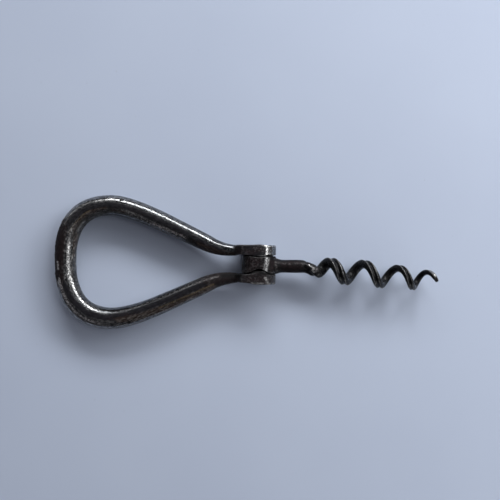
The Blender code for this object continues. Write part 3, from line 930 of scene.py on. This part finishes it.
def make_worm():
    worm = united("worm_fine", [block(), shank(), wire()])
    melt(worm, *BLOCK_JOINT)
    melt(worm, *ROOT_JOINT)
    points = read_points(worm)
    grain, turn = worm_grain(points)
    normals = normals_of(worm)
    points = points - normals * (WORM_SKIN - forged(points, grain, 5, WORM_HAMMERING))[:, None]
    points = kept_in_box(dent(points, normals, *WORM_DENT))
    x, y = points[:, 0], points[:, 1]
    on_block = x < BLOCK_END
    # a bright band runs across the block, a little aslant
    band = fade(-np.abs(x - 2.35 - 0.17 * y), -0.96, -0.36) * on_block
    # the groove's lips and the outside of the tip are rubbed
    lip = np.abs(np.abs(np.arctan2(grain[:, 2], grain[:, 1])) - GROOVE_HALF_ANGLE * 0.94)
    lip = fade(-lip, -0.08, 0) * fade(turn, 0.3, 0.6) * fade(x, 17, 18.5)
    outward_share = grain[:, 1] / np.maximum(np.hypot(grain[:, 1], grain[:, 2]), 0.01)
    tip = fade(turn, 3.66, 3.76) * fade(-turn, -3.95, -3.9) * fade(outward_share, 0.75, 1)
    bright = near_lines(points, WORM_BRIGHT, PIVOT[2])
    # the soot lines blacken the root's pit and paint shade in the gap between the block and the upper lug
    soot_and_shade = near_lines(points, WORM_SOOT_AND_SHADE, PIVOT[2])
    shine = np.max([0.65 * lip, 0.42 * tip, bright, 0.45 * band], axis=0)
    dull = 0.95 - 0.6 * tip - 0.2 * on_block - 0.75 * band
    scuffed = np.maximum(near_lines(points, WORM_SCUFFED, PIVOT[2]), 0.14 * (x < 1.5))
    state = (dull, patch(points, WORM_RUST), 0.4 + 0.5 * band)
    write_wear(worm, points, grain, state, shine * (1 - soot_and_shade) - soot_and_shade, (scuffed, 0.25 * on_block, 0))
    return finish_piece(worm, "worm", "worm")


def make_rivet():
    pin = rivet()
    points = read_points(pin)
    heads = np.abs(points[:, 1]) > LUG_OUTER - 0.1
    rough = forged(points, points, 9, RIVET_HAMMERING) * heads
    points = points + normals_of(pin) * rough[:, None]
    write_wear(pin, points, points - PIVOT, (0.9, 0.5, 0.6), 0, (0.3, 0.4, 0))
    return finish_piece(pin, "bow", "hinge_rivet")


# Materials

# Steel's tone where it is bare, and where it is rubbed
BARE_TONE = 0.14
RUBBED_TONE = 0.72
# Oxide from its darkest to its lightest, as shares of its tone, then rust and brown stain likewise
OXIDE_TINTS = ((0.45, 0.43, 0.6), (1.55, 1.5, 1.8))
RUST_COLOURS = ((0.0030, 0.0018, 0.0026, 1), (0.0145, 0.0070, 0.0082, 1))
BROWN_COLOURS = ((0.021, 0.0145, 0.0125, 1), (0.055, 0.040, 0.034, 1))
VARNISH_COLOUR = (0.15, 0.115, 0.058, 1)
SCUFF_COLOUR = (0.30, 0.27, 0.28, 1)
HOLLOW_COLOUR = (0.008, 0.006, 0.006, 1)
# Black of soot, also used as painted shade at the hinge's seams
SOOT_AND_SHADE_COLOUR = (0.004, 0.0035, 0.004, 1)
BUMP_DEPTH = 0.00006
TABLE_COLOURS = ((0.525, 0.592, 0.735, 1), (0.548, 0.617, 0.76, 1))
SPECK_COLOUR = (0.30, 0.32, 0.38, 1)


class Tree:
    """Builds a material's nodes from short calls. Numbers and colours set sockets; sockets are linked."""

    def __init__(self, name):
        self.material = bpy.data.materials.new(name)
        self.material.use_nodes = True
        self.tree = self.material.node_tree
        self.tree.nodes.clear()

    def add(self, kind, inputs=None, **settings):
        node = self.tree.nodes.new("ShaderNode" + kind)
        for key, value in settings.items():
            setattr(node, key, value)
        for key, value in (inputs or {}).items():
            socket = node.inputs[key]
            if isinstance(value, bpy.types.NodeSocket):
                self.tree.links.new(value, socket)
            else:
                socket.default_value = value
        return node

    def math(self, operation, a, b=0.0, clamp=False):
        return self.add("Math", {0: a, 1: b}, operation=operation, use_clamp=clamp).outputs[0]

    def ramp(self, value, low, high, to_low=0.0, to_high=1.0):
        inputs = {"Value": value, "From Min": low, "From Max": high, "To Min": to_low, "To Max": to_high}
        return self.add("MapRange", inputs, interpolation_type="SMOOTHSTEP").outputs[0]

    def times(self, a, b, clamp=False):
        return self.math("MULTIPLY", a, b, clamp)

    def plus(self, a, b):
        return self.math("ADD", a, b)

    def most(self, a, b, clamp=False):
        return self.math("MAXIMUM", a, b, clamp)

    def rest(self, share, clamp=False):
        """What a share leaves of 1."""
        return self.math("SUBTRACT", 1.0, share, clamp)

    def centred(self, noise, size):
        """Noise about 0, size times as strong."""
        return self.times(self.math("SUBTRACT", noise, 0.5), size)

    def mix(self, share, a, b):
        """Colour a, and b where share is 1."""
        return self.add("Mix", {0: share, 6: a, 7: b}, data_type="RGBA").outputs[2]

    def blend(self, share, a, b):
        """Number a, and b where share is 1."""
        return self.add("Mix", {0: share, 2: a, 3: b}, data_type="FLOAT").outputs[0]

    def attribute(self, name, output="Fac"):
        return self.add("Attribute", attribute_name=name).outputs[output]

    def noise(self, where, scale, detail, rough, distortion=0.0):
        sizes = {"Scale": scale, "Detail": detail, "Roughness": rough, "Distortion": distortion}
        return self.add("TexNoise", {"Vector": where, **sizes}).outputs[0]

    def stretch(self, where, scale, location=(0, 0, 0)):
        inputs = {"Vector": where, "Location": location, "Scale": scale}
        return self.add("Mapping", inputs).outputs[0]


def grey(value, warm=0.0):
    return (value * (1 + warm), value, value * (1 - warm), 1)


def steel_noises(t, seed):
    """What breaks up the steel: noises in space, and the last three drawn out along its grain."""
    position = t.add("TexCoord").outputs["Object"]
    place = t.stretch(position, (1 / MM, 1 / MM, 1 / MM), (seed * 13.7, seed * 5.1, 0))
    grain = t.attribute("grain", "Vector")
    return SimpleNamespace(
        broad=t.noise(place, 0.16, 4, 0.6),
        blotch=t.noise(place, 0.35, 5, 0.6, 0.5),
        mottle=t.noise(place, 0.6, 5, 0.62, 0.4),
        rust=t.noise(place, 0.9, 6, 0.7, 0.6),
        speck=t.noise(place, 1.4, 4, 0.7),
        grit=t.noise(place, 1.9, 3, 0.6),
        pits=t.noise(place, 1.9, 3, 0.5),
        fine=t.noise(t.stretch(grain, (0.38, 1, 1), (seed * 3.1, 0, 0)), 2.3, 4, 0.62),
        streaks=t.noise(t.stretch(grain, (0.10, 1.5, 1.5)), 1.5, 5, 0.65),
        hairs=t.noise(t.stretch(grain, (0.05, 3.2, 3.2), (seed, 0, 0)), 1.0, 2, 0.7),
    )


def steel_masks(t, n):
    """Where each layer shows, from 0 to 1: what the mesh says, broken up by the noises n."""
    wear = t.attribute("wear")
    shine = t.attribute("shine")
    dull, rust, pitted = t.add("SeparateXYZ", {0: t.attribute("state", "Vector")}).outputs
    scuffed, browned, varnish = t.add("SeparateXYZ", {0: t.attribute("tint", "Vector")}).outputs
    cloud = t.plus(t.centred(n.blotch, 0.8), t.centred(n.fine, 1.3))
    cloud = t.plus(cloud, t.centred(n.streaks, 1.4))
    brown = t.ramp(t.plus(browned, t.centred(n.streaks, 1.6)), 0.25, 0.75)
    # the deep pits are few, and the fine ones lie where the steel is pitted
    pits = t.times(t.ramp(n.pits, 0.62, 0.69), t.ramp(n.broad, 0.42, 0.58, 0.35, 1))
    grit = t.times(t.ramp(n.grit, 0.50, 0.62), pitted)
    rubbed = t.times(t.ramp(wear, 0.25, 0.9, 0, 0.5), t.ramp(n.fine, 0.4, 0.6))
    rubbed = t.times(rubbed, t.rest(dull, clamp=True))
    return SimpleNamespace(
        oxide=t.ramp(t.plus(dull, cloud), 0.25, 0.75),
        rust=t.ramp(t.plus(rust, t.centred(n.rust, 1.8)), 0.42, 0.85),
        brown=t.times(brown, t.ramp(browned, 0.02, 0.2)),
        varnish=t.times(varnish, t.ramp(n.fine, 0.2, 0.5, 0.4, 1)),
        scuff=t.times(t.ramp(n.speck, 0.50, 0.57), scuffed, clamp=True),
        pits=pits,
        grit=grit,
        dark=t.most(pits, t.times(grit, 0.9)),
        rubbed=t.most(rubbed, t.times(shine, t.ramp(n.grit, 0.54, 0.45, 0.2, 1)), clamp=True),
        hollow=t.times(t.ramp(wear, -0.15, -0.7), 0.7),
        # below zero, shine marks soot, and painted shade at the hinge's seams
        soot_and_shade=t.ramp(shine, -0.1, -0.8),
    )


def steel_colour(t, n, masks, dark):
    """Bare metal streaked along its grain, then each layer over it where its mask says."""
    tone = t.plus(t.times(n.fine, 0.6), t.times(n.mottle, 0.4))
    low, high = grey(BARE_TONE * 0.42, -0.07), grey(BARE_TONE * 1.25, -0.03)
    colour = t.mix(t.ramp(tone, 0.40, 0.60), low, high)
    colour = t.mix(t.ramp(n.streaks, 0.50, 0.66, 0, 0.55), colour, grey(BARE_TONE * 0.45, 0.05))
    colour = t.mix(t.ramp(n.hairs, 0.55, 0.68, 0, 0.5), colour, grey(BARE_TONE * 0.5, 0.06))
    low, high = ((r * dark, g * dark, b * dark, 1) for r, g, b in OXIDE_TINTS)
    layers = (
        (masks.oxide, t.mix(t.ramp(n.fine, 0.35, 0.65), low, high)),
        (masks.rust, t.mix(t.ramp(n.fine, 0.3, 0.7), *RUST_COLOURS)),
        (masks.brown, t.mix(t.ramp(n.fine, 0.35, 0.65), *BROWN_COLOURS)),
        (masks.varnish, VARNISH_COLOUR),
        (masks.scuff, SCUFF_COLOUR),
        (masks.dark, grey(dark * 0.6, 0.1)),
        (masks.rubbed, grey(RUBBED_TONE, 0.01)),
        (masks.hollow, HOLLOW_COLOUR),
        # soot, and painted shade at the hinge's seams, over all
        (masks.soot_and_shade, SOOT_AND_SHADE_COLOUR),
    )
    for mask, layer in layers:
        colour = t.mix(mask, colour, layer)
    return colour


def steel_metallic(t, masks):
    """Bare and rubbed steel is metal. What lies on it, and the painted shade at the hinge's seams, take that
    away.
    """
    bare = t.rest(t.most(masks.oxide, masks.rust), clamp=True)
    bare = t.times(bare, t.rest(t.times(masks.dark, 0.9)))
    bare = t.times(bare, t.rest(t.times(masks.brown, 0.6)))
    bare = t.times(bare, t.rest(masks.scuff))
    return t.times(t.most(bare, masks.rubbed), t.rest(masks.soot_and_shade))


def steel_roughness(t, n, masks, gloss):
    roughness = t.ramp(n.mottle, 0.3, 0.7, 0.13, 0.20)
    layers = (
        (masks.oxide, gloss),
        (masks.rust, 0.7),
        (masks.dark, 0.45),
        (masks.brown, 0.32),
        (masks.scuff, 0.5),
        (masks.rubbed, 0.17),
        (masks.soot_and_shade, 0.85),
    )
    for mask, value in layers:
        roughness = t.blend(mask, roughness, value)
    return roughness


def steel_bump(t, n, masks):
    height = t.times(n.hairs, 0.10)
    layers = (
        (n.fine, 0.12),
        (n.streaks, 0.24),
        (masks.pits, -1.2),
        (masks.grit, -0.8),
        (masks.scuff, 0.5),
        (t.times(masks.rust, n.fine), 1.0),
    )
    for share, rise in layers:
        height = t.plus(height, t.times(share, rise))
    return t.add("Bump", {"Strength": 0.5, "Distance": BUMP_DEPTH, "Height": height}).outputs[0]


def old_steel(name, seed, dark, gloss, sheen):
    """Old handled steel: bare metal, black oxide, brown rust, pits, scuffs, soot, painted shade at the
    hinge's seams and rubbed edges, where the mesh says so. Dark and gloss are the oxide's tone and roughness,
    sheen the shader's gloss level."""
    t = Tree(name)
    n = steel_noises(t, seed)
    masks = steel_masks(t, n)
    looks = {
        "Base Color": steel_colour(t, n, masks, dark),
        "Metallic": steel_metallic(t, masks),
        "Roughness": steel_roughness(t, n, masks, gloss),
        "Normal": steel_bump(t, n, masks),
        "Specular IOR Level": sheen,
    }
    t.add("OutputMaterial", {"Surface": t.add("BsdfPrincipled", looks).outputs[0]})
    return t.material


def table_top():
    t = Tree("table_top")
    place = t.add("TexCoord").outputs["Object"]
    soft = t.noise(place, 14, 3, 0.5)
    specks = t.noise(place, 900, 2, 0.5)
    colour = t.mix(t.ramp(soft, 0.3, 0.7), *TABLE_COLOURS)
    colour = t.mix(t.ramp(specks, 0.74, 0.8, 0, 0.35), colour, SPECK_COLOUR)
    shader = t.add("BsdfPrincipled", {"Base Color": colour, "Roughness": 0.55, "Specular IOR Level": 0.25})
    t.add("OutputMaterial", {"Surface": shader.outputs[0]})
    return t.material


# Stage, in metres and degrees

FLOOR_HALF = 3.0
FLOOR_DROP = 0.00002
# Soft boxes that face the object: azimuth from +X towards +Y, elevation, distance, how wide and how tall
# each looks from the object, and how bright it looks
LIGHTS = (
    ("window", 84, 25, 1.3, (40, 14), 12.0),
    ("near_window", 45, 25, 0.6, (40, 14), 10.3),
    ("side_window", 4, 53, 0.9, (26, 18), 1.9),
    ("end_window", 117, 25, 1.3, (26, 12), 0.9),
    ("right", 17, 27, 0.5, (22, 22), 3.2),
    ("right_low", -44, 10, 0.42, (36, 10), 6.0),
    ("left_low", 155, 20, 0.6, (30, 20), 1.0),
    ("above", 60, 42, 0.6, (50, 12), 0.8),
)
LIGHT_COLOUR = (0.98, 0.99, 1.0)
# The room's own glow, at the horizon and from half way up
ROOM_COLOUR = (0.93, 0.90, 1.0, 1)
ROOM_LOW = 0.14
ROOM_HIGH = 0.08
# Camera: how far above the middle of the picture it is, how wide the view is there, and its turn
CAMERA_HEIGHT = 0.205
VIEW_WIDTH = 0.16667
VIEW_MIDDLE = Vector((-0.00301, 0.00479, 0.0046))
VIEW_TURN = 0.94
SENSOR_WIDTH = 36
CLIP_START = 0.01


def make_floor():
    corners = [(x * FLOOR_HALF, y * FLOOR_HALF, 0) for x, y in ((-1, -1), (1, -1), (1, 1), (-1, 1))]
    mesh = bpy.data.meshes.new("floor")
    mesh.from_pydata(corners, [], [(0, 1, 2, 3)])
    mesh.materials.append(table_top())
    floor = bpy.data.objects.new("floor", mesh)
    floor.location.z = -FLOOR_DROP
    bpy.context.scene.collection.objects.link(floor)


def area_light(name, azimuth, elevation, distance, spread, radiance):
    data = bpy.data.lights.new(name, "AREA")
    data.shape = "RECTANGLE"
    data.size, data.size_y = (2 * distance * math.tan(math.radians(s / 2)) for s in spread)
    data.energy = radiance * math.pi * data.size * data.size_y
    data.color = LIGHT_COLOUR
    light = bpy.data.objects.new(name, data)
    a, e = math.radians(azimuth), math.radians(elevation)
    way = Vector((math.cos(a) * math.cos(e), math.sin(a) * math.cos(e), math.sin(e)))
    light.location = way * distance
    light.rotation_euler = way.to_track_quat("Z", "Y").to_euler()
    bpy.context.scene.collection.objects.link(light)


def make_room():
    world = bpy.data.worlds.new("room")
    world.use_nodes = True
    tree = world.node_tree
    background = tree.nodes["Background"]
    background.inputs["Color"].default_value = ROOM_COLOUR
    where = tree.nodes.new("ShaderNodeTexCoord")
    parts = tree.nodes.new("ShaderNodeSeparateXYZ")
    climb = tree.nodes.new("ShaderNodeMapRange")
    climb.interpolation_type = "SMOOTHSTEP"
    for key, value in (("From Min", 0.0), ("From Max", 0.5), ("To Min", ROOM_LOW), ("To Max", ROOM_HIGH)):
        climb.inputs[key].default_value = value
    tree.links.new(where.outputs["Generated"], parts.inputs[0])
    tree.links.new(parts.outputs["Z"], climb.inputs["Value"])
    tree.links.new(climb.outputs[0], background.inputs["Strength"])
    bpy.context.scene.world = world


def make_camera():
    """Straight above the table, turned a little, as in the photograph."""
    data = bpy.data.cameras.new("camera")
    data.sensor_width = SENSOR_WIDTH
    data.lens = SENSOR_WIDTH * CAMERA_HEIGHT / VIEW_WIDTH
    data.clip_start = CLIP_START
    camera = bpy.data.objects.new("camera", data)
    camera.location = VIEW_MIDDLE + Vector((0, 0, CAMERA_HEIGHT))
    camera.rotation_euler = (0, 0, math.radians(VIEW_TURN))
    bpy.context.scene.collection.objects.link(camera)
    bpy.context.scene.camera = camera


def main():
    bow = make_bow()
    worm = make_worm()
    pin = make_rivet()
    bow.data.materials.append(old_steel("bow_steel_worn", 1, dark=0.012, gloss=0.34, sheen=0.2))
    worm.data.materials.append(old_steel("worm_steel_worn", 2, dark=0.0032, gloss=0.24, sheen=0.14))
    pin.data.materials.append(old_steel("rivet_steel_worn", 3, dark=0.010, gloss=0.34, sheen=0.2))
    make_floor()
    for light in LIGHTS:
        area_light(*light)
    make_room()
    make_camera()
    bpy.context.scene.view_settings.view_transform = "Standard"


main()
